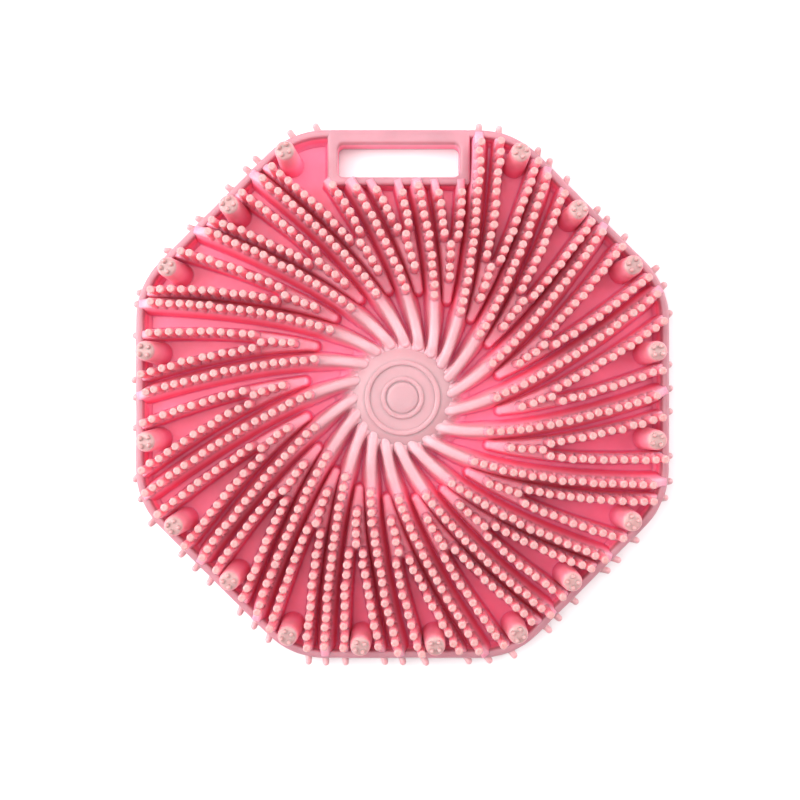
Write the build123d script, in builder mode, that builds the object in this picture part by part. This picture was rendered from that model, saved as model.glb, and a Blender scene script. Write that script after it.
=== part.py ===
"""Spiral-ribbed silicone scrubbing and massage pad, one moulding split at its moulded features.

Frame: +Z up out of the back face, +Y towards the hanging slot, origin in the middle of the
back face, which lies at Z = 0. All lengths are in millimetres and all angles in degrees.
"""
import os
from collections import namedtuple
from math import atan2, cos, degrees, hypot, log, pi, radians, sin, sqrt

from build123d import *

os.makedirs("parts", exist_ok=True)

# Body: a rounded octagon with a thin back web and a low rim
WIDTH = 155.0
LENGTH = 153.5
CORNER_RADIUS = 24.5
WEB_TOP = 2.0
WEB_EDGE_ROUND = 0.6
RIM_WIDTH = 2.2
RIM_TOP = 7.0
RIM_ROUND = 0.8

# Hanging and grip slot with its raised frame
SLOT_CENTRE = (-1.1, 67.85)
SLOT_LENGTH = 35.6
SLOT_WIDTH = 9.7
SLOT_CORNER = 1.8
FRAME_SIDE = 2.9
FRAME_BOTTOM = 2.3

# Hub boss with its two raised rings and centre disc
HUB_Y = -1.1
HUB_BASE_RADIUS = 16.2
HUB_WALL_RADIUS = 15.4
HUB_WALL_TOP = 6.4
HUB_FLAT_RADIUS = 11.6
HUB_TOP = 8.6
OUTER_RING = (9.4, 10.9)
INNER_RING = (4.85, 6.15)
RING_HEIGHT = 0.8
RING_ROUND = 0.3
DISC_RADIUS = 4.5
DISC_HEIGHT = 0.35

# Spiral pattern: twenty main ribs with a forked branch rib between each pair
RIB_COUNT = 20
STEP = 360 / RIB_COUNT
STRETCH_X = 0.968
STRETCH_Y = 1.033
SPIRAL_RADIUS = 28.0
MAIN_TOP = 9.0
MAIN_BASE_WIDTH = 3.5
MAIN_TOP_WIDTH = 2.5
MAIN_START_RADIUS = 14.2
BRANCH_TOP = 7.6
ARM_BASE_WIDTH = 3.2
ARM_TOP_WIDTH = 2.4
BRANCH_START = 28.6
FORK_START = 30.4
FORK_SLOPE = 0.125
FORK_RADIUS = 44.8
RIB_END_DROP = 2.6
RIB_END_RUN = 4.0
RIB_END_INSET = 0.5
PATH_POINTS = 9

# Sweep of each family, with its unevenness once, twice and four times round. A slope is the
# change for each time the radius grows by a factor e, and sweep is in radians for the same.
Curve = namedtuple(
    "Curve", "start sweep ease once once_slope once_at twice twice_slope twice_at four four_at"
)
MAIN_CURVE = Curve(-1.89, 0.411, -3.31, -1.29, 1.43, -11.2, 2.66, -1.60, 31.3, 0.68, 9.9)
BRANCH_CURVE = Curve(-0.83, 0.366, -1.54, -0.97, 0.54, 0.0, 2.48, -2.32, 29.0, 0.53, 10.4)

# Bristles, all ending in one plane
BRISTLE_TOP = 16.5
BRISTLE_BASE_RADIUS = 1.2
BRISTLE_TIP_RADIUS = 1.12
BRISTLE_TIP_ROUND = 0.9
MAIN_PITCH = 2.84
BRANCH_PITCH = 2.93
MAIN_FIRST = 28.05
MAIN_FIRST_OVAL = 0.75
STEM_FIRST = 35.0
STEM_COUNT = 4
ARM_FIRST = 45.9
MAIN_LAST_INSET = 3.8
ARM_LAST_INSET = 3.3
FRAME_CLEARANCE = 1.4

# Fringe of short bristles leaning out of the rim at the rib ends
FRINGE_RADIUS = 0.95
FRINGE_LIFT = 30.0
FRINGE_START_Z = 4.4
FRINGE_REACH = 2.6

# Posts near the rim, each between the arms of a fork
POST_TOP = 16.0
POST_BASE_RADIUS = 3.3
POST_TIP_RADIUS = 2.8
POST_ROUND = 0.9
POST_INSET = 6.2
NUB_RADIUS = 0.6
NUB_HEIGHT = 1.2
NUB_OFFSET = 1.1


def outline_distance(x, y):
    """Signed distance to the rounded outline, negative inside."""
    beyond = sorted(
        (
            abs(x) - WIDTH / 2,
            abs(y) - LENGTH / 2,
            (abs(x) + abs(y)) / sqrt(2) - (WIDTH + LENGTH) / 4,
        )
    )
    first, second = beyond[2] + CORNER_RADIUS, beyond[1] + CORNER_RADIUS
    if second > first * sqrt(0.5):
        corner = sqrt(2 * (first**2 + second**2 - sqrt(2) * first * second))
        return corner - CORNER_RADIUS
    return beyond[2]


def octagon_corners(inset):
    """Corner points of the octagon, moved inwards by inset."""
    half_x = WIDTH / 2 - inset
    half_y = LENGTH / 2 - inset
    reach = sqrt(2) * ((WIDTH + LENGTH) / 4 - inset)
    quarter = [(half_x, reach - half_x), (reach - half_y, half_y)]
    upper = quarter + [(-x, y) for x, y in reversed(quarter)]
    return upper + [(-x, -y) for x, y in upper]


def octagon(inset):
    """Rounded octagon face, moved inwards by inset."""
    with BuildSketch() as face:
        Polygon(*octagon_corners(inset), align=None)
        fillet(face.vertices(), radius=CORNER_RADIUS - inset)
    return face.sketch


def spiral_point(curve, turn, radius):
    """Point of the stretched spiral of a family that starts turn degrees round."""
    growth = log(radius / SPIRAL_RADIUS)
    angle = turn + curve.start + degrees(curve.sweep * growth) + curve.ease * growth**2
    angle += (curve.once + curve.once_slope * growth) * cos(radians(turn - curve.once_at))
    angle += (curve.twice + curve.twice_slope * growth) * cos(radians(2 * (turn - curve.twice_at)))
    angle += curve.four * cos(radians(4 * (turn - curve.four_at)))
    return STRETCH_X * radius * cos(radians(angle)), STRETCH_Y * radius * sin(radians(angle))


def branch_point(turn, radius, side):
    """Point on the axis (side 0) or on one arm (side -1 or +1) of a branch rib."""
    x, y = spiral_point(BRANCH_CURVE, turn, radius)
    ahead_x, ahead_y = spiral_point(BRANCH_CURVE, turn, radius + 0.1)
    run = hypot(ahead_x - x, ahead_y - y)
    spread = side * FORK_SLOPE * (radius - FORK_START)
    return x - spread * (ahead_y - y) / run, y + spread * (ahead_x - x) / run


def radius_at_inset(route, inset):
    """Spiral radius at which a route comes within inset of the outline."""
    low, high = HUB_BASE_RADIUS, WIDTH
    for _ in range(40):
        middle = (low + high) / 2
        if outline_distance(*route(middle)) < -inset:
            low = middle
        else:
            high = middle
    return low


def over_frame(x, y, margin):
    """True where a point is on or near the slot frame."""
    near_x = abs(x - SLOT_CENTRE[0]) < SLOT_LENGTH / 2 + FRAME_SIDE + margin
    return near_x and y > SLOT_CENTRE[1] - SLOT_WIDTH / 2 - FRAME_BOTTOM - margin


def bristle_row(route, first_radius, pitch, last_inset, count=None):
    """Evenly pitched spots along a route, as far as the rim, the frame or the count allows."""
    spots = []
    radius = first_radius
    while count is None or len(spots) < count:
        x, y = route(radius)
        if outline_distance(x, y) > -last_inset or over_frame(x, y, FRAME_CLEARANCE):
            break
        spots.append((x, y))
        ahead_x, ahead_y = route(radius + 0.1)
        radius += 0.1 * pitch / hypot(ahead_x - x, ahead_y - y)
    return spots


def copies(shape, places):
    """Separate copies of a shape as one group of solids."""
    with BuildPart() as group:
        with Locations(*places):
            add(shape)
    return group.part


def save(part, name):
    """Label a finished piece and write it to its own file."""
    part.label = name
    export_step(part, f"parts/{name}.step")


# The routes of the ribs
main_turns = [STEP * index for index in range(RIB_COUNT)]
branch_turns = [STEP * (index + 0.5) for index in range(RIB_COUNT)]
main_routes = [lambda r, turn=turn: spiral_point(MAIN_CURVE, turn, r) for turn in main_turns]
axis_routes = [lambda r, turn=turn: spiral_point(BRANCH_CURVE, turn, r) for turn in branch_turns]
arm_routes = [
    lambda r, turn=turn, side=side: branch_point(turn, r, side)
    for turn in branch_turns
    for side in (-1, 1)
]

# Shared cutting shapes
with BuildPart() as rib_envelope:
    with BuildSketch(Plane.XY.offset(WEB_TOP)):
        add(octagon(RIB_END_INSET))
    extrude(amount=MAIN_TOP + 1 - WEB_TOP)
    chamfer(rib_envelope.edges().group_by(Axis.Z)[-1], length=RIB_END_DROP, length2=RIB_END_RUN)

slot_x, slot_y = SLOT_CENTRE
slot_low = slot_y - SLOT_WIDTH / 2
slot_high = slot_y + SLOT_WIDTH / 2
frame_low = slot_low - FRAME_BOTTOM
frame_high = LENGTH / 2
frame_width = SLOT_LENGTH + 2 * FRAME_SIDE
frame_depth = frame_high - frame_low

with BuildPart() as frame_block:
    with BuildSketch(Plane.XY.offset(WEB_TOP)):
        with Locations((slot_x, (frame_low + frame_high) / 2)):
            Rectangle(frame_width, frame_depth)
    extrude(amount=RIM_TOP - WEB_TOP)

with BuildPart() as beyond_slot_edge:
    with BuildSketch():
        with Locations((slot_x, slot_low + 0.4)):
            Rectangle(frame_width, frame_depth, align=(Align.CENTER, Align.MIN))
    extrude(amount=BRISTLE_TOP)

# Back web with the slot through it
with BuildPart() as back_web:
    with BuildSketch():
        add(octagon(0))
    extrude(amount=WEB_TOP)
    fillet(back_web.edges().group_by(Axis.Z)[0], radius=WEB_EDGE_ROUND)
    with BuildSketch():
        with Locations(SLOT_CENTRE):
            RectangleRounded(SLOT_LENGTH, SLOT_WIDTH, SLOT_CORNER)
    extrude(amount=WEB_TOP, mode=Mode.SUBTRACT)
save(back_web.part, "back_web")

# Rim lip round the edge, broken only by the slot frame
with BuildPart() as outer_rim:
    with BuildSketch(Plane.XY.offset(WEB_TOP)):
        add(octagon(0))
        add(octagon(RIM_WIDTH), mode=Mode.SUBTRACT)
    extrude(amount=RIM_TOP - WEB_TOP)
    fillet(outer_rim.edges().group_by(Axis.Z)[-1], radius=RIM_ROUND)
    add(frame_block.part, mode=Mode.SUBTRACT)
save(outer_rim.part, "outer_rim")

# Slot frame, made whole and then parted into its four bars
with BuildPart() as slot_frame:
    add(frame_block.part)
    fillet(slot_frame.edges().group_by(Axis.Z)[-1].sort_by(Axis.Y)[-1], radius=RIM_ROUND)
    with BuildSketch(Plane.XY.offset(WEB_TOP)):
        with Locations(SLOT_CENTRE):
            RectangleRounded(SLOT_LENGTH, SLOT_WIDTH, SLOT_CORNER)
    extrude(amount=RIM_TOP - WEB_TOP, mode=Mode.SUBTRACT)

frame_left = slot_x - frame_width / 2
opening_left = slot_x - SLOT_LENGTH / 2
opening_right = slot_x + SLOT_LENGTH / 2
frame_right = slot_x + frame_width / 2
bars = {
    "slot_frame_bottom": (frame_left, frame_right, frame_low, slot_low),
    "slot_frame_top": (frame_left, frame_right, slot_high, frame_high),
    "slot_frame_left": (frame_left, opening_left + SLOT_CORNER, slot_low, slot_high),
    "slot_frame_right": (opening_right - SLOT_CORNER, frame_right, slot_low, slot_high),
}
for name, (x_low, x_high, y_low, y_high) in bars.items():
    with BuildPart() as bar:
        add(slot_frame.part)
        with Locations(((x_low + x_high) / 2, (y_low + y_high) / 2, RIM_TOP / 2)):
            Box(x_high - x_low, y_high - y_low, 2 * RIM_TOP, mode=Mode.INTERSECT)
    save(bar.part, name)

# Hub boss, a low dome with a flat top
hub_plane = Plane(origin=(0, HUB_Y, 0), x_dir=(1, 0, 0), z_dir=(0, -1, 0))
with BuildPart() as hub_boss:
    with BuildSketch(hub_plane):
        with BuildLine():
            foot = Line((0, WEB_TOP), (HUB_BASE_RADIUS, WEB_TOP))
            wall = Line(foot @ 1, (HUB_WALL_RADIUS, HUB_WALL_TOP))
            RadiusArc(wall @ 1, (HUB_FLAT_RADIUS, HUB_TOP), -8)
            Polyline((HUB_FLAT_RADIUS, HUB_TOP), (0, HUB_TOP), (0, WEB_TOP))
        make_face()
    revolve(axis=Axis((0, HUB_Y, 0), (0, 0, 1)))
save(hub_boss.part, "hub_boss")

for name, (inner, outer) in {"hub_outer_ring": OUTER_RING, "hub_inner_ring": INNER_RING}.items():
    with BuildPart() as ring:
        with BuildSketch(Plane((0, HUB_Y, HUB_TOP))):
            Circle(outer)
            Circle(inner, mode=Mode.SUBTRACT)
        extrude(amount=RING_HEIGHT)
        fillet(ring.edges().group_by(Axis.Z)[-1], radius=RING_ROUND)
    save(ring.part, name)

with BuildPart() as hub_centre_disc:
    with BuildSketch(Plane((0, HUB_Y, HUB_TOP))):
        Circle(DISC_RADIUS)
    extrude(amount=DISC_HEIGHT)
    fillet(hub_centre_disc.edges().group_by(Axis.Z)[-1], radius=DISC_HEIGHT / 2)
save(hub_centre_disc.part, "hub_centre_disc")

# Posts between the arms of the forks, with their nubs
with BuildPart() as post:
    with BuildSketch(Plane.XY.offset(WEB_TOP)):
        Circle(POST_BASE_RADIUS)
    with BuildSketch(Plane.XY.offset(POST_TOP)):
        Circle(POST_TIP_RADIUS)
    loft()
    fillet(post.edges().group_by(Axis.Z)[-1], radius=POST_ROUND)

with BuildPart() as nub:
    with BuildSketch(Plane.XY.offset(POST_TOP)):
        Circle(NUB_RADIUS)
    extrude(amount=NUB_HEIGHT)
    fillet(nub.edges().group_by(Axis.Z)[-1], radius=NUB_RADIUS * 0.9)

post_spots = []
for route in axis_routes:
    spot = route(radius_at_inset(route, POST_INSET))
    if not over_frame(*spot, POST_BASE_RADIUS):
        post_spots.append(spot)
nub_spots = []
for x, y in post_spots:
    heading = atan2(y, x)
    for quarter in range(4):
        angle = heading + pi / 4 + quarter * pi / 2
        reach = NUB_OFFSET * sqrt(2)
        nub_spots.append((x + reach * cos(angle), y + reach * sin(angle)))
edge_posts = copies(post.part, post_spots)
save(edge_posts, "edge_posts")
save(copies(nub.part, nub_spots), "post_nubs")


def swept_rib(route, start, end, base_width, top_width, top):
    """Rib of a trapezoid section swept along a route of the spiral pattern."""
    radii = [start + (end - start) * index / (PATH_POINTS - 1) for index in range(PATH_POINTS)]
    with BuildPart() as rib:
        with BuildLine(Plane.XY.offset(WEB_TOP)) as path:
            Spline(*[route(radius) for radius in radii])
        tangent = path.line % 0
        across = Vector(0, 0, 1).cross(tangent)
        with BuildSketch(Plane(origin=path.line @ 0, x_dir=across, z_dir=tangent)):
            Polygon(
                (-base_width / 2, 0),
                (base_width / 2, 0),
                (top_width / 2, top - WEB_TOP),
                (-top_width / 2, top - WEB_TOP),
                align=None,
            )
        sweep(path=path.line)
    return rib.part


def trimmed(rib):
    """Rib cut to the rib envelope and to the faces of what it runs into."""
    with BuildPart() as piece:
        add(rib)
        add(rib_envelope.part, mode=Mode.INTERSECT)
        add(outer_rim.part, mode=Mode.SUBTRACT)
        add(slot_frame.part, mode=Mode.SUBTRACT)
        add(beyond_slot_edge.part, mode=Mode.SUBTRACT)
    return piece.part


# Main ribs, from the shoulder of the hub to the rim
for index, route in enumerate(main_routes):
    end = radius_at_inset(route, -2)
    rib = swept_rib(route, MAIN_START_RADIUS, end, MAIN_BASE_WIDTH, MAIN_TOP_WIDTH, MAIN_TOP)
    with BuildPart() as main_rib:
        add(trimmed(rib))
        add(hub_boss.part, mode=Mode.SUBTRACT)
    save(main_rib.part, f"main_rib_{index + 1:02d}")

# Branch ribs, each a wedge that forks into two arms round a post
for index, turn in enumerate(branch_turns):
    left, right = arm_routes[2 * index], arm_routes[2 * index + 1]
    fill_radii = [BRANCH_START + (FORK_RADIUS - BRANCH_START) * step / 4 for step in range(5)]
    with BuildPart() as branch_rib:
        for route in (left, right):
            end = radius_at_inset(route, -2)
            add(swept_rib(route, BRANCH_START, end, ARM_BASE_WIDTH, ARM_TOP_WIDTH, BRANCH_TOP))
        with BuildSketch(Plane.XY.offset(WEB_TOP)):
            edge = [left(radius) for radius in fill_radii]
            edge += [right(radius) for radius in reversed(fill_radii[1:])]
            Polygon(*edge, align=None)
        extrude(amount=BRANCH_TOP - WEB_TOP)
    with BuildPart() as branch_piece:
        add(trimmed(branch_rib.part))
        add(edge_posts, mode=Mode.SUBTRACT)
    save(branch_piece.part, f"branch_rib_{index + 1:02d}")


def bristle(foot):
    """Round, slightly tapered bristle with a rounded tip, from foot to the common tip plane."""
    with BuildPart() as piece:
        with Locations((0, 0, foot)):
            Cone(
                BRISTLE_BASE_RADIUS,
                BRISTLE_TIP_RADIUS,
                BRISTLE_TOP - foot,
                align=(Align.CENTER, Align.CENTER, Align.MIN),
            )
        fillet(piece.edges().group_by(Axis.Z)[-1], radius=BRISTLE_TIP_ROUND)
    return piece.part


main_spots, stem_spots, arm_spots = [], [], []
for turn, route in zip(main_turns, main_routes):
    first = MAIN_FIRST - MAIN_FIRST_OVAL * cos(radians(2 * turn))
    main_spots += bristle_row(route, first, MAIN_PITCH, MAIN_LAST_INSET)
for route in axis_routes:
    stem_spots += bristle_row(route, STEM_FIRST, BRANCH_PITCH, ARM_LAST_INSET, STEM_COUNT)
for route in arm_routes:
    arm_spots += bristle_row(route, ARM_FIRST, BRANCH_PITCH, ARM_LAST_INSET)
save(copies(bristle(MAIN_TOP), main_spots), "main_rib_bristles")
save(copies(bristle(BRANCH_TOP), stem_spots), "branch_stem_bristles")
save(copies(bristle(BRANCH_TOP), arm_spots), "branch_arm_bristles")

# Fringe bristles, each leaning out of the rim's outer wall where a rib ends
with BuildPart() as outline_prism:
    add(octagon(0))
    extrude(amount=RIM_TOP + RIM_WIDTH)

fringe = []
for route in main_routes + arm_routes:
    end = radius_at_inset(route, 0)
    x, y = route(end)
    if over_frame(x, y, 0):
        continue
    ahead_x, ahead_y = route(end + 0.1)
    heading = atan2(ahead_y - y, ahead_x - x)
    lean = Vector(cos(heading), sin(heading), sin(radians(FRINGE_LIFT)) / cos(radians(FRINGE_LIFT)))
    foot = Vector(x, y, FRINGE_START_Z) - lean * RIM_WIDTH
    with BuildPart() as fringe_bristle:
        with BuildSketch(Plane(origin=foot, z_dir=lean)):
            Circle(FRINGE_RADIUS)
        extrude(amount=(RIM_WIDTH + FRINGE_REACH) * lean.length)
        fillet(fringe_bristle.edges().sort_by_distance(foot)[-1], radius=FRINGE_RADIUS * 0.9)
        add(outline_prism.part, mode=Mode.SUBTRACT)
    fringe.append(fringe_bristle.part)
with BuildPart() as rim_fringe:
    for piece in fringe:
        add(piece)
save(rim_fringe.part, "rim_fringe")
print("bristles", len(main_spots), len(stem_spots), len(arm_spots), "posts", len(post_spots))
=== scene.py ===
"""Looks for the spiral-ribbed silicone scrubbing and massage pad.

Every moulded feature is a mesh built here from the part's own driving sizes, in millimetres,
and written in metres. +Z points up out of the back face and +Y towards the hanging slot.
"""
import random
from collections import namedtuple
from math import atan2, cos, degrees, hypot, log, pi, radians, sin, sqrt

import bpy
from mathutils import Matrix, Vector, noise


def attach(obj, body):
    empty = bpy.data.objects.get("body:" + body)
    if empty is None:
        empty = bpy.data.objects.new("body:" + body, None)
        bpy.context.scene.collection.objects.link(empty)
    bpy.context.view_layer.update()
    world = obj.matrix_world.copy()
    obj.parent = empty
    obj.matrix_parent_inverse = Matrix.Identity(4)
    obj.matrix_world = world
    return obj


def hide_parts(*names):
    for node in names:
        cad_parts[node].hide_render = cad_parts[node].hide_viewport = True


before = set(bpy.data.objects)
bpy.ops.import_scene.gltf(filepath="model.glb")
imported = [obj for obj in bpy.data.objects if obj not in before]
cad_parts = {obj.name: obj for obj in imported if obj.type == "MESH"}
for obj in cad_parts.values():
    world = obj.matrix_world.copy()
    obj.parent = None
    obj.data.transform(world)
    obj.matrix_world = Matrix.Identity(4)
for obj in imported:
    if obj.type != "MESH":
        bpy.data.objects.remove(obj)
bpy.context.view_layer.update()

MM = 0.001

# Driving sizes, the same as the part's
WIDTH = 155.0
LENGTH = 153.5
CORNER_RADIUS = 24.5
WEB_TOP = 2.0
RIM_WIDTH = 2.2
SLOT_CENTRE = (-1.1, 67.85)
SLOT_LENGTH = 35.6
SLOT_WIDTH = 9.7
SLOT_CORNER = 1.8
FRAME_SIDE = 2.9
FRAME_BOTTOM = 2.3
HUB_Y = -1.1
HUB_TOP = 8.6
OUTER_RING = (9.4, 10.9)
INNER_RING = (4.85, 6.15)
DISC_RADIUS = 4.5
RIB_COUNT = 20
STEP = 360 / RIB_COUNT
STRETCH_X = 0.968
STRETCH_Y = 1.033
SPIRAL_RADIUS = 28.0
Curve = namedtuple(
    "Curve", "start sweep ease once once_slope once_at twice twice_slope twice_at four four_at"
)
MAIN_CURVE = Curve(-1.89, 0.411, -3.31, -1.29, 1.43, -11.2, 2.66, -1.60, 31.3, 0.68, 9.9)
BRANCH_CURVE = Curve(-0.83, 0.366, -1.54, -0.97, 0.54, 0.0, 2.48, -2.32, 29.0, 0.53, 10.4)
MAIN_TOP = 9.0
MAIN_BASE_WIDTH = 3.5
MAIN_TOP_WIDTH = 2.5
MAIN_START_RADIUS = 14.2
BRANCH_TOP = 7.6
ARM_BASE_WIDTH = 3.2
ARM_TOP_WIDTH = 2.4
BRANCH_START = 28.6
FORK_START = 30.4
FORK_SLOPE = 0.125
FORK_RADIUS = 44.8
BRISTLE_TOP = 16.5
MAIN_PITCH = 2.84
BRANCH_PITCH = 2.93
MAIN_FIRST = 28.05
MAIN_FIRST_OVAL = 0.75
STEM_FIRST = 35.0
STEM_COUNT = 4
ARM_FIRST = 45.9
MAIN_LAST_INSET = 3.8
ARM_LAST_INSET = 3.3
FRAME_CLEARANCE = 1.4
FRINGE_LIFT = 30.0
FRINGE_START_Z = 4.4
FRINGE_REACH = 2.6
POST_TOP = 16.0
POST_INSET = 6.2
POST_BASE_RADIUS = 3.3

# Sizes of the looks alone. BURIED is the height at which the skins start, inside the back web.
# AHEAD is the step along a route that gives its direction. The rings are lower than the part's.
BURIED = 1.2
AHEAD = 0.1
FRAME_CORNER = 1.2
RING_HEIGHT = 0.5
HUB_FOOT_RADIUS = 19.8
MAIN_CREST_RADIUS = 0.95
BRANCH_CREST_RADIUS = 0.8
MAIN_WIDENING = 0.12
FOOT_WIDENING = 0.75
FOOT_WIDENING_SLOPE = 0.09
FOOT_WIDENING_FROM = 18
RIM_DROP = 1.7
RIM_DROP_RUN = 2.48
RIM_DROP_END = 1.0
MAIN_STATIONS = 60
STEM_STATIONS = 22
ARM_STATIONS = 40
MAIN_END_STEPS = 10
BRANCH_END_STEPS = 12
BRISTLE_UNEVENNESS = 0.16
POST_SPLAY = 0.9
POST_SPLAY_SWING = 0.6
POST_SPLAY_HEADING = 135
NUB_CIRCLE = 1.55
NUB_LEAN = 0.12
NUB_RISE = 1.15


def outline_distance(x, y):
    """Signed distance to the rounded outline, negative inside."""
    beyond = sorted(
        (
            abs(x) - WIDTH / 2,
            abs(y) - LENGTH / 2,
            (abs(x) + abs(y)) / sqrt(2) - (WIDTH + LENGTH) / 4,
        )
    )
    first, second = beyond[2] + CORNER_RADIUS, beyond[1] + CORNER_RADIUS
    if second > first * sqrt(0.5):
        return sqrt(2 * (first**2 + second**2 - sqrt(2) * first * second)) - CORNER_RADIUS
    return beyond[2]


def spiral_point(curve, turn, radius):
    """Point of the stretched spiral of a family that starts turn degrees round."""
    growth = log(radius / SPIRAL_RADIUS)
    angle = turn + curve.start + degrees(curve.sweep * growth) + curve.ease * growth**2
    angle += (curve.once + curve.once_slope * growth) * cos(radians(turn - curve.once_at))
    angle += (curve.twice + curve.twice_slope * growth) * cos(radians(2 * (turn - curve.twice_at)))
    angle += curve.four * cos(radians(4 * (turn - curve.four_at)))
    return STRETCH_X * radius * cos(radians(angle)), STRETCH_Y * radius * sin(radians(angle))


def beside(curve, turn, radius, offset):
    """Point offset to the left of the spiral that starts turn degrees round."""
    x, y = spiral_point(curve, turn, radius)
    ahead_x, ahead_y = spiral_point(curve, turn, radius + AHEAD)
    run = hypot(ahead_x - x, ahead_y - y)
    return x - offset * (ahead_y - y) / run, y + offset * (ahead_x - x) / run


def branch_point(turn, radius, side):
    """Point on the axis (side 0) or on one arm (side -1 or +1) of a branch rib."""
    return beside(BRANCH_CURVE, turn, radius, side * FORK_SLOPE * (radius - FORK_START))


def heading_at(route, radius):
    """Direction in which a route runs at a spiral radius, in radians."""
    x, y = route(radius)
    ahead_x, ahead_y = route(radius + AHEAD)
    return atan2(ahead_y - y, ahead_x - x)


def radius_at_inset(route, inset):
    """Spiral radius at which a route comes within inset of the outline."""
    low, high = 16.0, WIDTH
    for _ in range(40):
        middle = (low + high) / 2
        if outline_distance(*route(middle)) < -inset:
            low = middle
        else:
            high = middle
    return low


def over_frame(x, y, margin):
    """True where a point is on or near the slot frame."""
    near_x = abs(x - SLOT_CENTRE[0]) < SLOT_LENGTH / 2 + FRAME_SIDE + margin
    return near_x and y > SLOT_CENTRE[1] - SLOT_WIDTH / 2 - FRAME_BOTTOM - margin


def bristle_row(route, first_radius, pitch, last_inset, count=None):
    """Evenly pitched spots along a route, as far as the rim, the frame or the count allows."""
    spots = []
    radius = first_radius
    while count is None or len(spots) < count:
        x, y = route(radius)
        if outline_distance(x, y) > -last_inset or over_frame(x, y, FRAME_CLEARANCE):
            break
        spots.append((x, y))
        ahead_x, ahead_y = route(radius + AHEAD)
        radius += AHEAD * pitch / hypot(ahead_x - x, ahead_y - y)
    return spots


main_turns = [STEP * index for index in range(RIB_COUNT)]
branch_turns = [STEP * (index + 0.5) for index in range(RIB_COUNT)]
main_routes = [lambda r, turn=turn: spiral_point(MAIN_CURVE, turn, r) for turn in main_turns]
axis_routes = [lambda r, turn=turn: spiral_point(BRANCH_CURVE, turn, r) for turn in branch_turns]
arm_routes = [
    lambda r, turn=turn, side=side: branch_point(turn, r, side)
    for turn in branch_turns
    for side in (-1, 1)
]


# ---------------------------------------------------------------- materials

def ramp_node(tree, stops, low, high):
    """Object coordinates and a colour ramp by height above the back face, in millimetres."""
    nodes, links = tree.nodes, tree.links
    coords = nodes.new("ShaderNodeTexCoord")
    split = nodes.new("ShaderNodeSeparateXYZ")
    span = nodes.new("ShaderNodeMapRange")
    ramp = nodes.new("ShaderNodeValToRGB")
    links.new(coords.outputs["Object"], split.inputs[0])
    links.new(split.outputs["Z"], span.inputs["Value"])
    span.inputs["From Min"].default_value = low * MM
    span.inputs["From Max"].default_value = high * MM
    links.new(span.outputs[0], ramp.inputs[0])
    elements = ramp.color_ramp.elements
    elements[0].color, elements[-1].color = (*stops[0][1], 1), (*stops[-1][1], 1)
    for height, colour in stops[1:-1]:
        elements.new((height - low) / (high - low)).color = (*colour, 1)
    return coords, ramp


# Distances from the middle over which the painted light on the bare crests by the hub gives way to
# the bristled crests' colours.
LIT_CORE_REACH = (25, 31)


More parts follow.
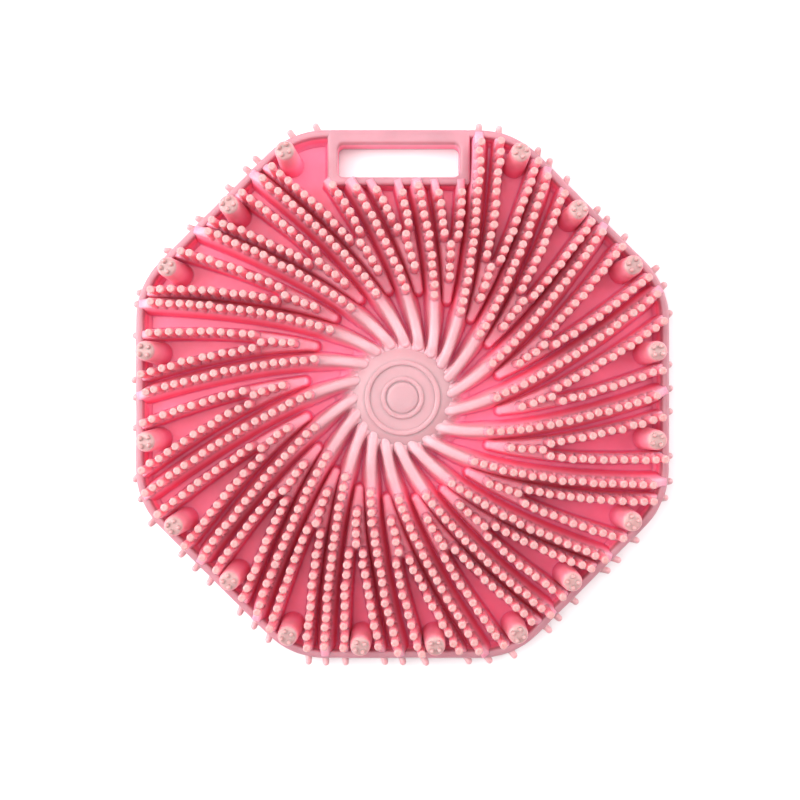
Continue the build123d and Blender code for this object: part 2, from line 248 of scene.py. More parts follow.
def silicone(name, stops, subsurface=0.6, mottle=0.10, depth=0.0022, lit_core=None):
    """Translucent moulded silicone, coloured by a ramp over height: deep towards the floor between
    the ribs as painted shade, paler towards the crests and tips as painted light.

    Given a second ramp for near the hub, its stops rule there and give way to the first where the
    bristles begin; it paints the bare crests by the hub paler, as painted light.
    """
    roughness, bump = 0.42, 0.05
    material = bpy.data.materials.new(name)
    material.use_nodes = True
    tree = material.node_tree
    nodes, links = tree.nodes, tree.links
    shader = nodes["Principled BSDF"]
    low, high = stops[0][0], stops[-1][0]
    coords, ramp = ramp_node(tree, stops, low, high)
    colour = ramp.outputs["Color"]
    # Painted light: near the hub the second ramp's paler stops are mixed in by distance from the
    # middle.
    if lit_core:
        core_coords, core_ramp = ramp_node(tree, lit_core, low, high)
        flat = nodes.new("ShaderNodeVectorMath")
        flat.operation = "MULTIPLY"
        flat.inputs[1].default_value = (1, 1, 0)
        links.new(core_coords.outputs["Object"], flat.inputs[0])
        reach = nodes.new("ShaderNodeVectorMath")
        reach.operation = "LENGTH"
        links.new(flat.outputs[0], reach.inputs[0])
        blend = nodes.new("ShaderNodeMapRange")
        blend.inputs["From Min"].default_value = LIT_CORE_REACH[0] * MM
        blend.inputs["From Max"].default_value = LIT_CORE_REACH[1] * MM
        links.new(reach.outputs["Value"], blend.inputs["Value"])
        mix = nodes.new("ShaderNodeMix")
        mix.data_type = "RGBA"
        links.new(blend.outputs[0], mix.inputs[0])
        links.new(core_ramp.outputs["Color"], mix.inputs[6])
        links.new(colour, mix.inputs[7])
        colour = mix.outputs[2]

    cloud = nodes.new("ShaderNodeTexNoise")
    cloud.inputs["Scale"].default_value = 90
    cloud.inputs["Detail"].default_value = 4
    links.new(coords.outputs["Object"], cloud.inputs["Vector"])
    fine = nodes.new("ShaderNodeTexNoise")
    fine.inputs["Scale"].default_value = 900
    fine.inputs["Detail"].default_value = 3
    links.new(coords.outputs["Object"], fine.inputs["Vector"])

    shade = nodes.new("ShaderNodeMapRange")
    shade.inputs["From Min"].default_value = 0.3
    shade.inputs["From Max"].default_value = 0.7
    shade.inputs["To Min"].default_value = 1 - mottle
    shade.inputs["To Max"].default_value = 1 + mottle
    links.new(cloud.outputs["Fac"], shade.inputs["Value"])
    tinted = nodes.new("ShaderNodeVectorMath")
    tinted.operation = "SCALE"
    links.new(colour, tinted.inputs[0])
    links.new(shade.outputs[0], tinted.inputs["Scale"])
    links.new(tinted.outputs[0], shader.inputs["Base Color"])

    rough = nodes.new("ShaderNodeMapRange")
    rough.inputs["To Min"].default_value = roughness - 0.08
    rough.inputs["To Max"].default_value = roughness + 0.12
    links.new(fine.outputs["Fac"], rough.inputs["Value"])
    links.new(rough.outputs[0], shader.inputs["Roughness"])

    bumps = nodes.new("ShaderNodeBump")
    bumps.inputs["Strength"].default_value = bump
    bumps.inputs["Distance"].default_value = 0.0004
    links.new(fine.outputs["Fac"], bumps.inputs["Height"])
    links.new(bumps.outputs[0], shader.inputs["Normal"])

    shader.inputs["Subsurface Weight"].default_value = subsurface
    shader.inputs["Subsurface Radius"].default_value = (1.0, 0.32, 0.38)
    shader.inputs["Subsurface Scale"].default_value = depth
    shader.inputs["IOR"].default_value = 1.41
    shader.inputs["Specular IOR Level"].default_value = 0.9
    shader.inputs["Sheen Weight"].default_value = 0.08
    shader.inputs["Sheen Roughness"].default_value = 0.5
    return material


# Colours of the height ramps. The deep, saturated floor and lower-wall colours are painted shade
# in the channels between the ribs;
# the paler, less saturated pinks of the upper walls, crests, tips, rim lip, hub and bare crests by
# the hub are painted light on the higher parts.
SHADED_FLOOR = (0.87, 0.155, 0.29)
SHADED_LOWER_WALL = (0.92, 0.065, 0.18)
WALL = (0.97, 0.28, 0.42)
LIT_BRANCH_CREST = (0.76, 0.28, 0.36)
LIT_RIB_CREST = (0.80, 0.32, 0.40)
STEM = (0.85, 0.275, 0.35)
LIT_TIP = (0.50, 0.28, 0.275)
RIM = (0.46, 0.20, 0.24)
HUB = (0.48, 0.25, 0.275)
SHOULDER = (0.66, 0.28, 0.33)
LIT_BARE_CREST = (0.60, 0.315, 0.35)
LIT_FRINGE_TIP = (0.60, 0.33, 0.35)

# Each ramp runs from painted shade low down to painted light higher up.
web_skin = silicone("pink_silicone_web", [(0, SHADED_FLOOR), (2, SHADED_FLOOR), (7, WALL)])
# Main ribs: painted shade on the lower walls, painted light on the crests and, near the hub, on
# the bare crests.
main_skin = silicone(
    "pink_silicone_main_ribs",
    [
        (2, SHADED_FLOOR), (2.4, SHADED_LOWER_WALL), (4.0, SHADED_LOWER_WALL),
        (6.6, WALL), (8.2, LIT_RIB_CREST), (9.6, LIT_RIB_CREST),
    ],
    lit_core=[(2, SHADED_FLOOR), (3.2, WALL), (6.5, SHOULDER), (8.2, LIT_BARE_CREST), (9.6, LIT_BARE_CREST)],
)
# Branch ribs: painted shade on the lower walls, painted light on the crests.
branch_skin = silicone(
    "pink_silicone_branch_ribs",
    [
        (2, SHADED_FLOOR), (2.4, SHADED_LOWER_WALL), (3.6, SHADED_LOWER_WALL),
        (5.8, WALL), (7.0, LIT_BRANCH_CREST), (8.6, LIT_BRANCH_CREST),
    ],
)
rim_skin = silicone(
    "pink_silicone_rim", [(0, SHADED_FLOOR), (2.2, SHADED_FLOOR), (4.0, WALL), (5.8, RIM), (7.4, RIM)]
)
# Fringe: the paler tips are painted light.
fringe_skin = silicone(
    "pink_silicone_fringe", [(3, RIM), (4.5, RIM), (5.5, LIT_FRINGE_TIP), (7.4, LIT_FRINGE_TIP)]
)
hub_skin = silicone(
    "pink_silicone_hub",
    [(1.5, SHADED_FLOOR), (2.5, WALL), (5.0, SHOULDER), (7.6, HUB), (9.4, HUB)],
    mottle=0.05,
)
# Bristles: the paler tips are painted light.
bristle_skin = silicone(
    "pink_silicone_bristles",
    [(7, WALL), (9, STEM), (15.3, STEM), (16.05, LIT_TIP), (17.2, LIT_TIP)],
    subsurface=1.0,
    depth=0.0035,
    mottle=0.06,
)
# Posts: painted shade at the foot, painted light towards the top.
post_skin = silicone(
    "pink_silicone_posts",
    [(2, SHADED_FLOOR), (4, SHADED_FLOOR), (8, WALL), (12, STEM), (15.0, STEM), (15.8, LIT_TIP), (17.2, LIT_TIP)],
)


# ---------------------------------------------------------------- mesh helpers

class Build:
    """Vertices in millimetres and faces of one piece."""

    def __init__(self):
        self.verts = []
        self.faces = []

    def ring(self, points):
        """Adds points and gives their indices."""
        start = len(self.verts)
        self.verts.extend(points)
        return list(range(start, start + len(points)))

    def bridge(self, lower, upper, closed=True):
        """Joins two rings of equally many points with quads."""
        count = len(lower)
        for index in range(count if closed else count - 1):
            following = (index + 1) % count
            self.faces.append((lower[index], lower[following], upper[following], upper[index]))

    def loft(self, rings, closed=True):
        """Adds rings and joins each to the next."""
        made = [self.ring(points) for points in rings]
        for lower, upper in zip(made, made[1:]):
            self.bridge(lower, upper, closed)
        return made

    def fan(self, ring, point, flip=False):
        """Closes a ring with triangles to one point."""
        centre = self.ring([point])[0]
        for index, corner in enumerate(ring):
            following = ring[(index + 1) % len(ring)]
            self.faces.append((following, corner, centre) if flip else (corner, following, centre))

    def strip(self, ring, flip=False):
        """Closes an open ring whose second half runs back beside its first half."""
        count = len(ring)
        for index in range(count // 2 - 1):
            face = (ring[index], ring[index + 1], ring[count - 2 - index], ring[count - 1 - index])
            self.faces.append(tuple(reversed(face)) if flip else face)

    def piece(self, name, material, slot, *replaced):
        """Makes the mesh object and hides the nodes it stands in for."""
        mesh = bpy.data.meshes.new(name)
        mesh.from_pydata([(x * MM, y * MM, z * MM) for x, y, z in self.verts], [], self.faces)
        mesh.polygons.foreach_set("use_smooth", [True] * len(mesh.polygons))
        mesh.materials.append(material)
        mesh.validate()
        obj = bpy.data.objects.new(name, mesh)
        bpy.context.scene.collection.objects.link(obj)
        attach(obj, "root")
        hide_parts(*replaced)


def arc(centre_x, centre_z, radius, start, end, count):
    """Points of an arc in a profile, angles in degrees."""
    return [
        (
            centre_x + radius * cos(radians(start + (end - start) * index / (count - 1))),
            centre_z + radius * sin(radians(start + (end - start) * index / (count - 1))),
        )
        for index in range(count)
    ]


# ---------------------------------------------------------------- outline, rim and slot frame

def outline_loop(inset, count=720):
    """Evenly turned points on the rounded octagon, moved inwards by inset."""
    points = []
    for index in range(count):
        angle = 2 * pi * index / count
        low, high = 0.0, WIDTH
        for _ in range(32):
            middle = (low + high) / 2
            if outline_distance(middle * cos(angle), middle * sin(angle)) < 0:
                low = middle
            else:
                high = middle
        x, y = low * cos(angle), low * sin(angle)
        step = 0.01
        slope_x = outline_distance(x + step, y) - outline_distance(x - step, y)
        slope_y = outline_distance(x, y + step) - outline_distance(x, y - step)
        size = hypot(slope_x, slope_y)
        points.append((x - inset * slope_x / size, y - inset * slope_y / size))
    return points


def waver(x, y, size, reach, seed=0):
    """Smooth unevenness of a hand-sized moulding, at most about size."""
    return size * noise.noise(Vector((x / reach, y / reach, 7.3 * seed)))


# Rim: outer wall, rounded lip, inner wall that flares into the floor
rim_profile = [(0.0, BURIED), (0.0, 2.0), (0.0, 4.0), (0.0, 6.0)]
rim_profile += arc(0.85, 6.1, 0.85, 180, 90, 6)[1:]
rim_profile += arc(RIM_WIDTH - 0.75, 6.2, 0.75, 90, 0, 6)[1:]
rim_profile += [
    (RIM_WIDTH + flare, height)
    for flare, height in (
        (0.1, 4.6), (0.2, 3.4), (0.45, 2.6), (0.9, 2.15), (1.7, 2.02), (1.7, BURIED),
    )
]
edge_loop = outline_loop(0)
inner_loop = outline_loop(1)
edge_normals = [(b[0] - a[0], b[1] - a[1]) for a, b in zip(edge_loop, inner_loop)]
rim = Build()
rim_rings = []
for inset, height in rim_profile:
    ring = []
    for (x, y), (nx, ny) in zip(edge_loop, edge_normals):
        lift = waver(x, y, 0.25, 9) if height > 4 else 0
        shift = waver(x, y, 0.16, 7, 1) * (height > 2)
        move = inset + abs(shift)
        ring.append((x + nx * move, y + ny * move, height + min(lift, 0)))
    rim_rings.append(ring)
made = rim.loft(rim_rings)
rim.bridge(made[-1], made[0])
rim.piece("moulded_rim", rim_skin, "rim_silicone", "outer_rim")


def rounded_rectangle(left, right, low, high, radius, per_corner=8):
    """Corners of a rectangle rounded by radius, anticlockwise."""
    points = []
    for x, y, start in (
        (right - radius, high - radius, 0),
        (left + radius, high - radius, 90),
        (left + radius, low + radius, 180),
        (right - radius, low + radius, 270),
    ):
        for index in range(per_corner + 1):
            angle = radians(start + 90 * index / per_corner)
            points.append((x + radius * cos(angle), y + radius * sin(angle)))
    return points


slot_x, slot_y = SLOT_CENTRE
slot_left, slot_right = slot_x - SLOT_LENGTH / 2, slot_x + SLOT_LENGTH / 2
slot_low, slot_high = slot_y - SLOT_WIDTH / 2, slot_y + SLOT_WIDTH / 2
frame_left, frame_right = slot_left - FRAME_SIDE, slot_right + FRAME_SIDE
frame_low, frame_high = slot_low - FRAME_BOTTOM, LENGTH / 2


def frame_loop(out):
    """Outer loop of the slot frame; the top edge stays on the outline."""
    top = frame_high + min(out, 0)
    corner = FRAME_CORNER + max(out, 0)
    return rounded_rectangle(frame_left - out, frame_right + out, frame_low - out, top, corner)


def slot_loop(grow):
    """Loop of the slot opening, grown on all sides."""
    left, right, low, high = slot_left - grow, slot_right + grow, slot_low - grow, slot_high + grow
    return rounded_rectangle(left, right, low, high, SLOT_CORNER + grow)


slot_frame = Build()
outer_levels = [
    (0.9, BURIED), (0.9, 2.02), (0.35, 2.3), (0.1, 3.0), (0.0, 5.0), (0.0, 6.2),
    (-0.1, 6.6), (-0.35, 6.88), (-0.75, 7.0),
]
inner_levels = [
    (0.75, 7.0), (0.35, 6.9), (0.1, 6.65), (0.0, 6.2), (0.0, 4.0),
    (-0.08, 2.0), (-0.08, 0.3), (0.4, 0.02), (1.2, 0.02),
]
rings = [
    [(x, y, height) for x, y in loop(out)]
    for loop, levels in ((frame_loop, outer_levels), (slot_loop, inner_levels))
    for out, height in levels
]
made = slot_frame.loft(rings)
slot_frame.bridge(made[-1], made[0])
slot_frame.piece(
    "moulded_slot_frame", rim_skin, "rim_silicone",
    "slot_frame_bottom", "slot_frame_top", "slot_frame_left", "slot_frame_right",
)


# ---------------------------------------------------------------- hub

hub_profile = [
    (HUB_FOOT_RADIUS, BURIED), (HUB_FOOT_RADIUS, 2.02), (18.9, 2.12), (18.1, 2.5), (17.5, 3.2),
    (17.0, 4.1), (16.5, 5.0), (15.8, 5.95), (14.9, 6.8), (13.8, 7.5), (12.7, 8.05),
    (11.8, 8.4), (11.15, 8.56),
]


def hub_height(x, y):
    """Height of the hub's dome over the floor between the ribs."""
    radius = hypot(x, y - HUB_Y)
    if radius >= HUB_FOOT_RADIUS:
        return WEB_TOP
    for (outer, low), (inner, high) in zip(hub_profile[1:], hub_profile[2:]):
        if radius >= inner:
            share = (outer - radius) / (outer - inner)
            return low + (high - low) * share
    return HUB_TOP


def turned(build, profile, centre, segments=128):
    """Rings of a turned shape about a vertical axis, outside to inside."""
    rings = [
        [
            (
                centre[0] + radius * cos(2 * pi * index / segments),
                centre[1] + radius * sin(2 * pi * index / segments),
                height,
            )
            for index in range(segments)
        ]
        for radius, height in profile
    ]
    return build.loft(rings)


def ring_band(inner, outer, base, rise):
    """Profile of a raised ring with a fine groove along each edge, outside to inside."""
    high = base + rise
    return [
        (outer + 0.32, base), (outer + 0.16, base - 0.1), (outer, base - 0.12),
        (outer - 0.03, base + 0.6 * rise), (outer - 0.14, base + 0.9 * rise), (outer - 0.35, high),
        ((inner + outer) / 2, base + rise * 1.05),
        (inner + 0.35, high), (inner + 0.14, base + 0.9 * rise), (inner + 0.03, base + 0.6 * rise),
        (inner, base - 0.12), (inner - 0.16, base - 0.1), (inner - 0.32, base),
    ]


hub = Build()
flat_top = [(radius, HUB_TOP) for radius in (9.0, 6.0, 3.0, 0.6)]
made = turned(hub, hub_profile + flat_top, (0, HUB_Y))
hub.fan(made[-1], (0, HUB_Y, HUB_TOP))
hub.fan(made[0], (0, HUB_Y, BURIED), flip=True)
hub.piece("moulded_hub", hub_skin, "rib_silicone", "hub_boss")

for name, node, (inner, outer) in (
    ("moulded_outer_ring", "hub_outer_ring", OUTER_RING),
    ("moulded_inner_ring", "hub_inner_ring", INNER_RING),
):
    band = Build()
    profile = ring_band(inner, outer, HUB_TOP + 0.02, RING_HEIGHT)
    profile = [(outer + 0.32, HUB_TOP - 0.3)] + profile + [(inner - 0.32, HUB_TOP - 0.3)]
    made = turned(band, profile, (0, HUB_Y))
    band.bridge(made[-1], made[0])
    band.piece(name, hub_skin, "rib_silicone", node)

disc = Build()
made = turned(
    disc,
    [(DISC_RADIUS, 8.3), (DISC_RADIUS, 8.7), (4.4, 8.84), (4.2, 8.92), (3.0, 8.94), (0.8, 8.95)],
    (0, HUB_Y),
)
disc.fan(made[-1], (0, HUB_Y, 8.95))
disc.fan(made[0], (0, HUB_Y, 8.3), flip=True)
disc.piece("moulded_centre_disc", hub_skin, "rib_silicone", "hub_centre_disc")


# ---------------------------------------------------------------- ribs

FLARE = [(0.55, 0.0), (0.32, 0.07), (0.16, 0.2), (0.05, 0.42), (0.0, 0.8)]


def rib_levels(base_half, top_half, crest):
    """(half width, how height is set) from the buried foot to the flat of the crest."""
    levels = [(base_half + FLARE[0][0], "foot", -0.7)]
    levels += [(base_half + out, "foot", rise) for out, rise in FLARE]
    for share in (0.3, 0.6, 0.85):
        levels.append((base_half + (top_half - base_half) * share, "wall", share))
    for angle in (0, 25, 50, 70, 90):
        half = top_half - crest * (1 - cos(radians(angle)))
        levels.append((half, "crest", -crest * (1 - sin(radians(angle)))))
    return levels


def level_height(x, y, kind, value, top, crest):
    """Height of a point of a rib, from its foot, its wall or its rounded crest."""
    foot = hub_height(x, y)
    if kind == "foot":
        return min(foot + value, top - crest)
    if kind == "wall":
        low = min(foot + FLARE[-1][1], top - crest)
        return low + (top - crest - low) * value
    return top + value


def rim_drop(x, y):
    """How much lower a rib's crest is where it runs down to the rim."""
    inside = -outline_distance(x, y)
    share = min(max((RIM_DROP_RUN + RIM_DROP_END - inside) / RIM_DROP_RUN, 0), 1)
    return RIM_DROP * share * share * (3 - 2 * share)


def crest_waver(x, y, seed):
    """Slight unevenness of a rib's crest."""
    return 0.4 * waver(x, y, 0.3, 8, seed)


def route_end(route):
    """Spiral radius at which a rib stops, at the rim or over the slot frame."""
    end = radius_at_inset(route, 0.7)
    radius = MAIN_FIRST
    while radius < end:
        x, y = route(radius)
        if frame_left - 1 < x < frame_right + 1 and y > slot_low - 0.9:
            return radius
        radius += 0.1
    return end


def main_rib(index, turn):
    """Spiral rib with a round inner end, from the hub to the rim or the slot frame."""
    route = main_routes[index]
    start, end = MAIN_START_RADIUS, route_end(route)
    crest = MAIN_CREST_RADIUS
    stations = [start + (end - start) * step / MAIN_STATIONS for step in range(MAIN_STATIONS + 1)]
    rings = []
    for half, kind, value in rib_levels(MAIN_BASE_WIDTH / 2, MAIN_TOP_WIDTH / 2, crest):
        ring = []

        def put(x, y, radius):
            wave = waver(x, y, 0.3, 11, 2) * (kind != "foot")
            inner = max(0, 1 - (radius - start) / 2.4)
            top = MAIN_TOP - rim_drop(x, y) - 0.9 * inner * inner + crest_waver(x, y, 3)
            height = level_height(x, y, kind, value, top, crest)
            ring.append((x + 0.3 * wave, y + 0.3 * wave, height))

        def spread(radius):
            share = 1 if kind == "foot" else 1 - value if kind == "wall" else 0
            extra = max(0, FOOT_WIDENING_SLOPE * (radius - FOOT_WIDENING_FROM))
            return half + MAIN_WIDENING + share * min(FOOT_WIDENING, extra)

        for radius in reversed(stations):
            put(*beside(MAIN_CURVE, turn, radius, spread(radius)), radius)
        tip_x, tip_y = route(start)
        tip_half = half + MAIN_WIDENING
        heading = heading_at(route, start)
        for step in range(1, MAIN_END_STEPS):
            angle = heading + pi / 2 + pi * step / MAIN_END_STEPS
            put(tip_x + tip_half * cos(angle), tip_y + tip_half * sin(angle), start)
        for radius in stations:
            put(*beside(MAIN_CURVE, turn, radius, -spread(radius)), radius)
        rings.append(ring)
    rib = Build()
    made = rib.loft(rings, closed=False)
    rib.strip(made[-1])
    rib.strip(made[0], flip=True)
    rib.faces.append(tuple([level[0] for level in made] + [level[-1] for level in reversed(made)]))
    name = f"main_rib_{index + 1:02d}"
    rib.piece(f"moulded_{name}", main_skin, "rib_silicone", name)


def branch_rib(index, turn):
    """Rib with a round inner end that forks into two arms.

    Each level is one loop round the rib: the left side inwards, the round end, the right side
    outwards, then back along the inside of the right arm, the crotch and the left arm.
    """
    crest = BRANCH_CREST_RADIUS
    right_end, left_end = (route_end(arm_routes[2 * index + side]) for side in (0, 1))
    start = BRANCH_START + 1.2
    apex = FORK_RADIUS - 1.2
    top_half = ARM_TOP_WIDTH / 2

    def arm_offset(radius):
        return FORK_SLOPE * max(radius - FORK_START, 0)

    stem = [start + (apex - start) * step / STEM_STATIONS for step in range(STEM_STATIONS + 1)]
    shares = [step / ARM_STATIONS for step in range(1, ARM_STATIONS + 1)]
    rings = []
    for half, kind, value in rib_levels(ARM_BASE_WIDTH / 2, top_half, crest):
        outer_left, outer_right, inner_left, inner_right = [], [], [], []

        def put(ring, offset, radius):
            x, y = beside(BRANCH_CURVE, turn, radius, offset)
            inner = max(0, 1 - (radius - start) / 6)
            top = BRANCH_TOP - 0.8 * rim_drop(x, y) - 0.7 * inner * inner + crest_waver(x, y, 4)
            ring.append((x, y, level_height(x, y, kind, value, top, crest)))

        for radius in stem:
            put(outer_left, arm_offset(radius) + half, radius)
            put(outer_right, -arm_offset(radius) - half, radius)
        shift = (half - top_half + crest) / FORK_SLOPE * 0.32
        crotch = apex + shift
        for share in shares:
            for end, outer, inner, sign in (
                (left_end, outer_left, inner_left, 1),
                (right_end, outer_right, inner_right, -1),
            ):
                radius = apex + (end - apex) * share
                put(outer, sign * (arm_offset(radius) + half), radius)
                radius = crotch + (end - crotch) * share
                gap = max(arm_offset(radius) - half, 0.05)
                round_radius = max(arm_offset(crotch + 1.0) - half, 0.12)
                along = radius - crotch
                if along < round_radius:
                    gap = min(gap, sqrt(max(round_radius**2 - (round_radius - along) ** 2, 0)))
                put(inner, sign * gap, radius)
        tip_ring = []
        axis = axis_routes[index]
        tip_x, tip_y = axis(start)
        tip_half = arm_offset(start) + half
        heading = heading_at(axis, start)
        for step in range(1, BRANCH_END_STEPS):
            angle = heading + pi / 2 + pi * step / BRANCH_END_STEPS
            x, y = tip_x + tip_half * cos(angle), tip_y + tip_half * sin(angle)
            top = BRANCH_TOP - 0.7 + crest_waver(x, y, 4)
            tip_ring.append((x, y, level_height(x, y, kind, value, top, crest)))
        point = []
        put(point, 0, crotch)
        rings.append((outer_left, tip_ring, outer_right, inner_right, point, inner_left))

    rib = Build()
    loops = []
    for outer_left, tip_ring, outer_right, inner_right, point, inner_left in rings:
        loop = list(reversed(outer_left)) + tip_ring + outer_right
        loop += list(reversed(inner_right)) + point + inner_left
        loops.append(loop)
    made = rib.loft(loops)
    arms, stem_count, tips = len(shares), len(stem), BRANCH_END_STEPS - 1
    left_size = arms + stem_count
    for ring, flip in ((made[-1], False), (made[0], True)):
        left = list(reversed(ring[:left_size]))
        tip = ring[left_size:left_size + tips]
        right = ring[left_size + tips:2 * left_size + tips]
        inner_right = list(reversed(ring[2 * left_size + tips:2 * left_size + tips + arms]))
        centre = ring[2 * left_size + tips + arms]
        inner_left = ring[2 * left_size + tips + arms + 1:]
        caps = []
        for step in range(stem_count - 1):
            caps.append((left[step + 1], left[step], right[step], right[step + 1]))
        joined = [left[0]] + tip + [right[0]]
        for step in range(len(joined) // 2 - 1):
            caps.append((joined[step], joined[step + 1], joined[-2 - step], joined[-1 - step]))
        middle = len(joined) // 2
        caps.append((joined[middle - 1], joined[middle], joined[middle + 1]))
        last = stem_count - 1
        caps.append((left[last], right[last], centre))
        near_left, near_right = [centre] + inner_left, [centre] + inner_right
        for step in range(arms):
            at = last + step
            caps.append((left[at + 1], left[at], near_left[step], near_left[step + 1]))
            caps.append((right[at], right[at + 1], near_right[step + 1], near_right[step]))
        rib.faces.extend(tuple(reversed(face)) if flip else face for face in caps)
    name = f"branch_rib_{index + 1:02d}"
    rib.piece(f"moulded_{name}", branch_skin, "rib_silicone", name)


for index, turn in enumerate(main_turns):
    main_rib(index, turn)
for index, turn in enumerate(branch_turns):
    branch_rib(index, turn)


# ---------------------------------------------------------------- bristles, posts and fringe

random.seed(20)


def stud(build, foot, tip, profile, segments=16, dimple=0):
    """Round stud from foot to tip.

    The profile gives each ring as ("up", mm above the foot, radius) or ("down", mm below the
    tip, radius), and dimple is how far the middle of the top is sunk.
    """
    axis = Vector(tip) - Vector(foot)
    height = axis.length
    axis.normalize()
    side = axis.orthogonal().normalized()
    other = axis.cross(side)
    turn = random.uniform(0, 2 * pi)
    rings = []
    for kind, value, radius in profile:
        along = value if kind == "up" else height - value
        centre = Vector(foot) + axis * along
        rings.append(
            [
                tuple(
                    centre
                    + side * radius * cos(turn + 2 * pi * step / segments)
                    + other * radius * sin(turn + 2 * pi * step / segments)
                )
                for step in range(segments)
            ]
        )
    made = build.loft(rings)
    top = Vector(foot) + axis * (height - dimple)
    build.fan(made[-1], tuple(top))
    build.fan(made[0], tuple(Vector(foot)), flip=True)


BRISTLE_PROFILE = [
    ("up", -0.45, 1.55), ("up", 0.05, 1.36), ("up", 0.35, 1.22), ("up", 0.9, 1.17),
    ("up", 3.4, 1.15),
    ("down", 0.7, 1.14), ("down", 0.42, 1.12), ("down", 0.2, 1.04), ("down", 0.06, 0.90),
    ("down", 0.0, 0.70), ("down", 0.0, 0.34), ("down", 0.05, 0.17),
]


def bristles(name, node, spots, foot):
    """One bristle on each spot, a little uneven, as moulded bristles are."""
    group = Build()
    for x, y in spots:
        lean_x, lean_y = random.gauss(0, BRISTLE_UNEVENNESS), random.gauss(0, BRISTLE_UNEVENNESS)
        tip = (x + lean_x, y + lean_y, BRISTLE_TOP + random.uniform(-0.35, 0))
        stud(group, (x, y, foot - 0.1), tip, BRISTLE_PROFILE, dimple=0.09)
    group.piece(name, bristle_skin, "bristle_silicone", node)


main_spots, stem_spots, arm_spots = [], [], []
for turn, route in zip(main_turns, main_routes):
    first = MAIN_FIRST - MAIN_FIRST_OVAL * cos(radians(2 * turn))
    main_spots += bristle_row(route, first, MAIN_PITCH, MAIN_LAST_INSET)
for route in axis_routes:
    stem_spots += bristle_row(route, STEM_FIRST, BRANCH_PITCH, ARM_LAST_INSET, STEM_COUNT)
for route in arm_routes:
    arm_spots += bristle_row(route, ARM_FIRST, BRANCH_PITCH, ARM_LAST_INSET)
bristles("moulded_main_bristles", "main_rib_bristles", main_spots, MAIN_TOP)
bristles("moulded_stem_bristles", "branch_stem_bristles", stem_spots, BRANCH_TOP)
bristles("moulded_arm_bristles", "branch_arm_bristles", arm_spots, BRANCH_TOP)

POST_PROFILE = [
    ("up", -0.6, 3.62), ("up", 0.05, 3.56), ("up", 0.25, 3.46), ("up", 0.5, 3.4),
    ("up", 0.9, 3.35), ("up", 1.4, 3.32), ("up", 2.4, 3.26), ("up", 6.0, 3.12), ("up", 10.0, 2.95),
    ("down", 1.3, 2.86), ("down", 0.8, 2.78), ("down", 0.42, 2.6), ("down", 0.16, 2.25),
    ("down", 0.02, 1.7), ("down", 0.0, 1.0), ("down", 0.02, 0.4),
]
NUB_PROFILE = [
    ("up", -0.3, 0.85), ("up", 0.05, 0.7), ("up", 0.35, 0.62), ("down", 0.45, 0.58),
    ("down", 0.2, 0.48), ("down", 0.05, 0.28), ("down", 0.0, 0.1),
]
posts = Build()
nubs = Build()
for route in axis_routes:
    x, y = route(radius_at_inset(route, POST_INSET))
    if over_frame(x, y, POST_BASE_RADIUS):
        continue
    heading = atan2(y, x)
    splay = POST_SPLAY + POST_SPLAY_SWING * cos(heading - radians(POST_SPLAY_HEADING))
    tip_x, tip_y = x + splay * cos(heading), y + splay * sin(heading)
    stud(posts, (x, y, WEB_TOP), (tip_x, tip_y, POST_TOP), POST_PROFILE, segments=48, dimple=0.02)
    for quarter in range(4):
        angle = heading + pi / 4 + quarter * pi / 2 + random.gauss(0, 0.06)
        reach = NUB_CIRCLE + random.gauss(0, 0.05)
        nub_x, nub_y = tip_x + reach * cos(angle), tip_y + reach * sin(angle)
        lean_x, lean_y = NUB_LEAN * cos(angle), NUB_LEAN * sin(angle)
        stud(
            nubs,
            (nub_x, nub_y, POST_TOP - 0.05),
            (nub_x + lean_x, nub_y + lean_y, POST_TOP + NUB_RISE),
            NUB_PROFILE,
            segments=20,
        )
posts.piece("moulded_posts", post_skin, "bristle_silicone", "edge_posts")
nubs.piece("moulded_post_nubs", post_skin, "bristle_silicone", "post_nubs")

FRINGE_PROFILE = [
    ("up", 0.0, 1.3), ("up", 0.9, 1.1), ("up", 1.6, 0.97), ("down", 0.8, 0.92),
    ("down", 0.45, 0.82), ("down", 0.18, 0.6), ("down", 0.03, 0.32), ("down", 0.0, 0.12),
]
fringe = Build()
for route in main_routes + arm_routes:
    end = radius_at_inset(route, 0)
    x, y = route(end)
    if over_frame(x, y, 0):
        continue
    heading = heading_at(route, end) + random.gauss(0, 0.06)
    rise = sin(radians(FRINGE_LIFT)) / cos(radians(FRINGE_LIFT))
    lean = Vector((cos(heading), sin(heading), rise))
    foot = Vector((x, y, FRINGE_START_Z)) - lean * 0.8
    beside_flat = max(abs(x) - 0.93 * WIDTH / 2, 0) / (0.07 * WIDTH / 2)
    reach = FRINGE_REACH - 0.05 - beside_flat + random.uniform(-0.5, 0)
    tip = Vector((x, y, FRINGE_START_Z)) + lean * reach
    stud(fringe, tuple(foot), tuple(tip), FRINGE_PROFILE, segments=20)
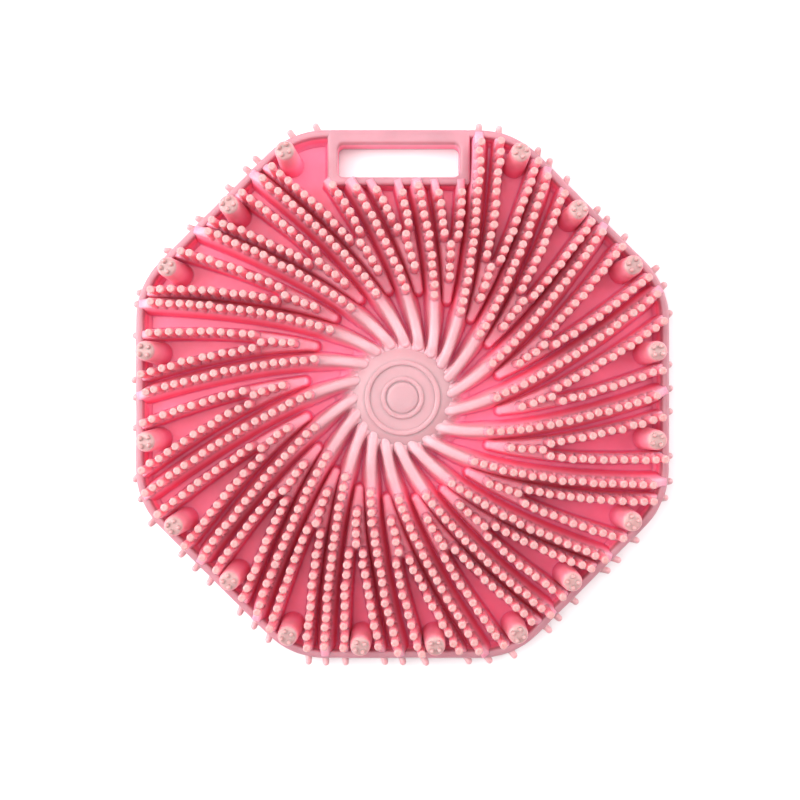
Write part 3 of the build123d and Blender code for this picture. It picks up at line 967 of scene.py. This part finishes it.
fringe.piece("moulded_fringe", fringe_skin, "rim_silicone", "rim_fringe")

# The back web keeps its own shape
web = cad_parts["back_web"]
web.data.materials.clear()
web.data.materials.append(web_skin)


# ---------------------------------------------------------------- floor, light and camera

floor_mesh = bpy.data.meshes.new("studio_floor")
floor_mesh.from_pydata(
    [(-3, -3, -0.0003), (3, -3, -0.0003), (3, 3, -0.0003), (-3, 3, -0.0003)], [], [(0, 1, 2, 3)]
)
floor_skin = bpy.data.materials.new("pale_floor")
floor_skin.use_nodes = True
floor_shader = floor_skin.node_tree.nodes["Principled BSDF"]
floor_shader.inputs["Base Color"].default_value = (0.82, 0.82, 0.82, 1)
floor_shader.inputs["Roughness"].default_value = 0.8
floor_mesh.materials.append(floor_skin)
floor = bpy.data.objects.new("studio_floor", floor_mesh)
bpy.context.scene.collection.objects.link(floor)

world = bpy.data.worlds.new("studio_world")
bpy.context.scene.world = world
world.use_nodes = True
world.node_tree.nodes["Background"].inputs["Color"].default_value = (1, 1, 1, 1)
world.node_tree.nodes["Background"].inputs["Strength"].default_value = 0.5


def softbox(name, place, size, energy):
    """Square soft light aimed at the middle of the pad."""
    light = bpy.data.lights.new(name, "AREA")
    light.size = size
    light.energy = energy
    obj = bpy.data.objects.new(name, light)
    obj.location = place
    obj.rotation_euler = (-Vector(place)).to_track_quat("-Z", "Y").to_euler()
    bpy.context.scene.collection.objects.link(obj)


softbox("left_light", (-0.68, 0.0, 0.46), 0.7, 7.0)
softbox("upper_left_light", (-0.50, 0.42, 0.48), 0.6, 2.2)
softbox("right_light", (0.62, 0.30, 0.52), 0.7, 6.0)
softbox("high_light", (-0.24, 0.16, 0.95), 0.6, 4.8)

camera_data = bpy.data.cameras.new("camera")
camera_data.lens = 45.5
camera_data.sensor_width = 36
camera_data.clip_start = 0.01
camera = bpy.data.objects.new("camera", camera_data)
camera.location = (-0.00072, -0.00173, 0.300)
bpy.context.scene.collection.objects.link(camera)
bpy.context.scene.camera = camera
bpy.context.scene.view_settings.view_transform = "Standard"
